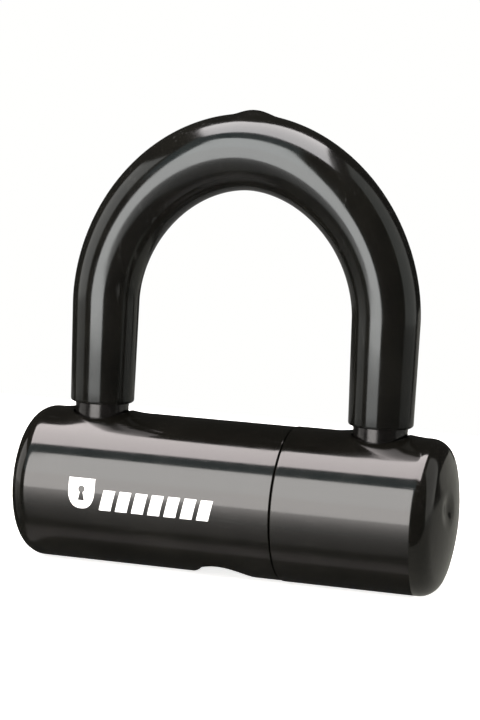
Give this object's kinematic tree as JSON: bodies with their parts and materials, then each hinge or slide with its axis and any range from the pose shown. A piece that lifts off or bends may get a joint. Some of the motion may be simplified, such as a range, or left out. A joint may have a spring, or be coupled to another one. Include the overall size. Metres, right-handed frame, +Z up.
{
  "type": "mini u-lock",
  "caption": "Small U-lock: a thick U shackle in a rubber sleeve, locked by sliding bolts in a round covered crossbar with a pin tumbler cylinder underneath.",
  "frame": {"origin": "the point under the middle of the crossbar, on the surface that it stands on", "axes": "+X along the crossbar towards the short cover, -Y to the front, +Z up to the shackle's crown"},
  "size_m": [0.108, 0.0374, 0.112],
  "materials": {
    "hardened_steel": "dark satin",
    "black_rubber": "glossy black vinyl or rubber",
    "black_plastic": "glossy black",
    "cast_zinc": "as cast",
    "brass": "machined",
    "spring_steel": "bright drawn wire"
  },
  "bodies": {
    "crossbar": {"chamber_cover": "brass", "chassis_lower": "cast_zinc", "chassis_screw_1": "hardened_steel", "chassis_screw_2": "hardened_steel", "chassis_screw_3": "hardened_steel", "chassis_screw_4": "hardened_steel", "chassis_upper": "cast_zinc", "crossbar_tube": "hardened_steel", "cylinder_shell": "brass", "driver_spring_1": "spring_steel", "driver_spring_2": "spring_steel", "driver_spring_3": "spring_steel", "driver_spring_4": "spring_steel", "left_chassis_pin": "spring_steel", "left_cover": "black_plastic", "left_end_plug": "hardened_steel", "left_end_plug_pin": "spring_steel", "right_chassis_pin": "spring_steel", "right_cover": "black_plastic", "right_end_plug": "hardened_steel", "right_end_plug_pin": "spring_steel"},
    "shackle": {"shackle_bar": "hardened_steel", "shackle_sleeve": "black_rubber"},
    "plug": {"plug": "brass", "plug_clip": "spring_steel", "cam": "hardened_steel"},
    "left_bolt": {"left_bolt": "hardened_steel"},
    "right_bolt": {"right_bolt": "hardened_steel"},
    "driver_pin_1": {"driver_pin_1": "spring_steel"},
    "key_pin_1": {"key_pin_1": "brass"},
    "driver_pin_2": {"driver_pin_2": "spring_steel"},
    "key_pin_2": {"key_pin_2": "brass"},
    "driver_pin_3": {"driver_pin_3": "spring_steel"},
    "key_pin_3": {"key_pin_3": "brass"},
    "driver_pin_4": {"driver_pin_4": "spring_steel"},
    "key_pin_4": {"key_pin_4": "brass"}
  },
  "joints": [
    {"name": "shackle_lift", "type": "slide", "parent": "crossbar", "child": "shackle", "axis": [0, 0, 1], "range_m": [0, 0.032]},
    {"name": "plug_turn", "type": "hinge", "parent": "crossbar", "child": "plug", "pos_m": [0, 0, 0.01865], "axis": [0, 0, 1], "range_deg": [0, 90]},
    {"name": "right_bolt_slide", "type": "slide", "parent": "crossbar", "child": "right_bolt", "axis": [1, 0, 0], "range_m": [0, 0.00467]},
    {"name": "left_bolt_slide", "type": "slide", "parent": "crossbar", "child": "left_bolt", "axis": [-1, 0, 0], "range_m": [0, 0.00467]},
    {"name": "driver_pin_1_slide", "type": "slide", "parent": "crossbar", "child": "driver_pin_1", "axis": [1, 0, 0], "range_m": [0, 0.0009], "stiffness_N_per_m": 60, "springref_m": -0.002, "deforming": ["driver_spring_1"]},
    {"name": "driver_pin_2_slide", "type": "slide", "parent": "crossbar", "child": "driver_pin_2", "axis": [1, 0, 0], "range_m": [0, 0.0009], "stiffness_N_per_m": 60, "springref_m": -0.002, "deforming": ["driver_spring_2"]},
    {"name": "driver_pin_3_slide", "type": "slide", "parent": "crossbar", "child": "driver_pin_3", "axis": [1, 0, 0], "range_m": [0, 0.0009], "stiffness_N_per_m": 60, "springref_m": -0.002, "deforming": ["driver_spring_3"]},
    {"name": "driver_pin_4_slide", "type": "slide", "parent": "crossbar", "child": "driver_pin_4", "axis": [1, 0, 0], "range_m": [0, 0.0009], "stiffness_N_per_m": 60, "springref_m": -0.002, "deforming": ["driver_spring_4"]},
    {"name": "key_pin_1_slide", "type": "slide", "parent": "plug", "child": "key_pin_1", "axis": [0, 1, 0], "range_m": [0, 0.0006]},
    {"name": "key_pin_2_slide", "type": "slide", "parent": "plug", "child": "key_pin_2", "axis": [0, 1, 0], "range_m": [0, 0.0011]},
    {"name": "key_pin_3_slide", "type": "slide", "parent": "plug", "child": "key_pin_3", "axis": [0, 1, 0], "range_m": [0, 0.0008]},
    {"name": "key_pin_4_slide", "type": "slide", "parent": "plug", "child": "key_pin_4", "axis": [0, 1, 0], "range_m": [0, 0.00095]}
  ],
  "couplings": [
    {"joint": "right_bolt_slide", "follows": "plug_turn", "m_per_rad": 0.002971},
    {"joint": "left_bolt_slide", "follows": "plug_turn", "m_per_rad": 0.002971}
  ]
}
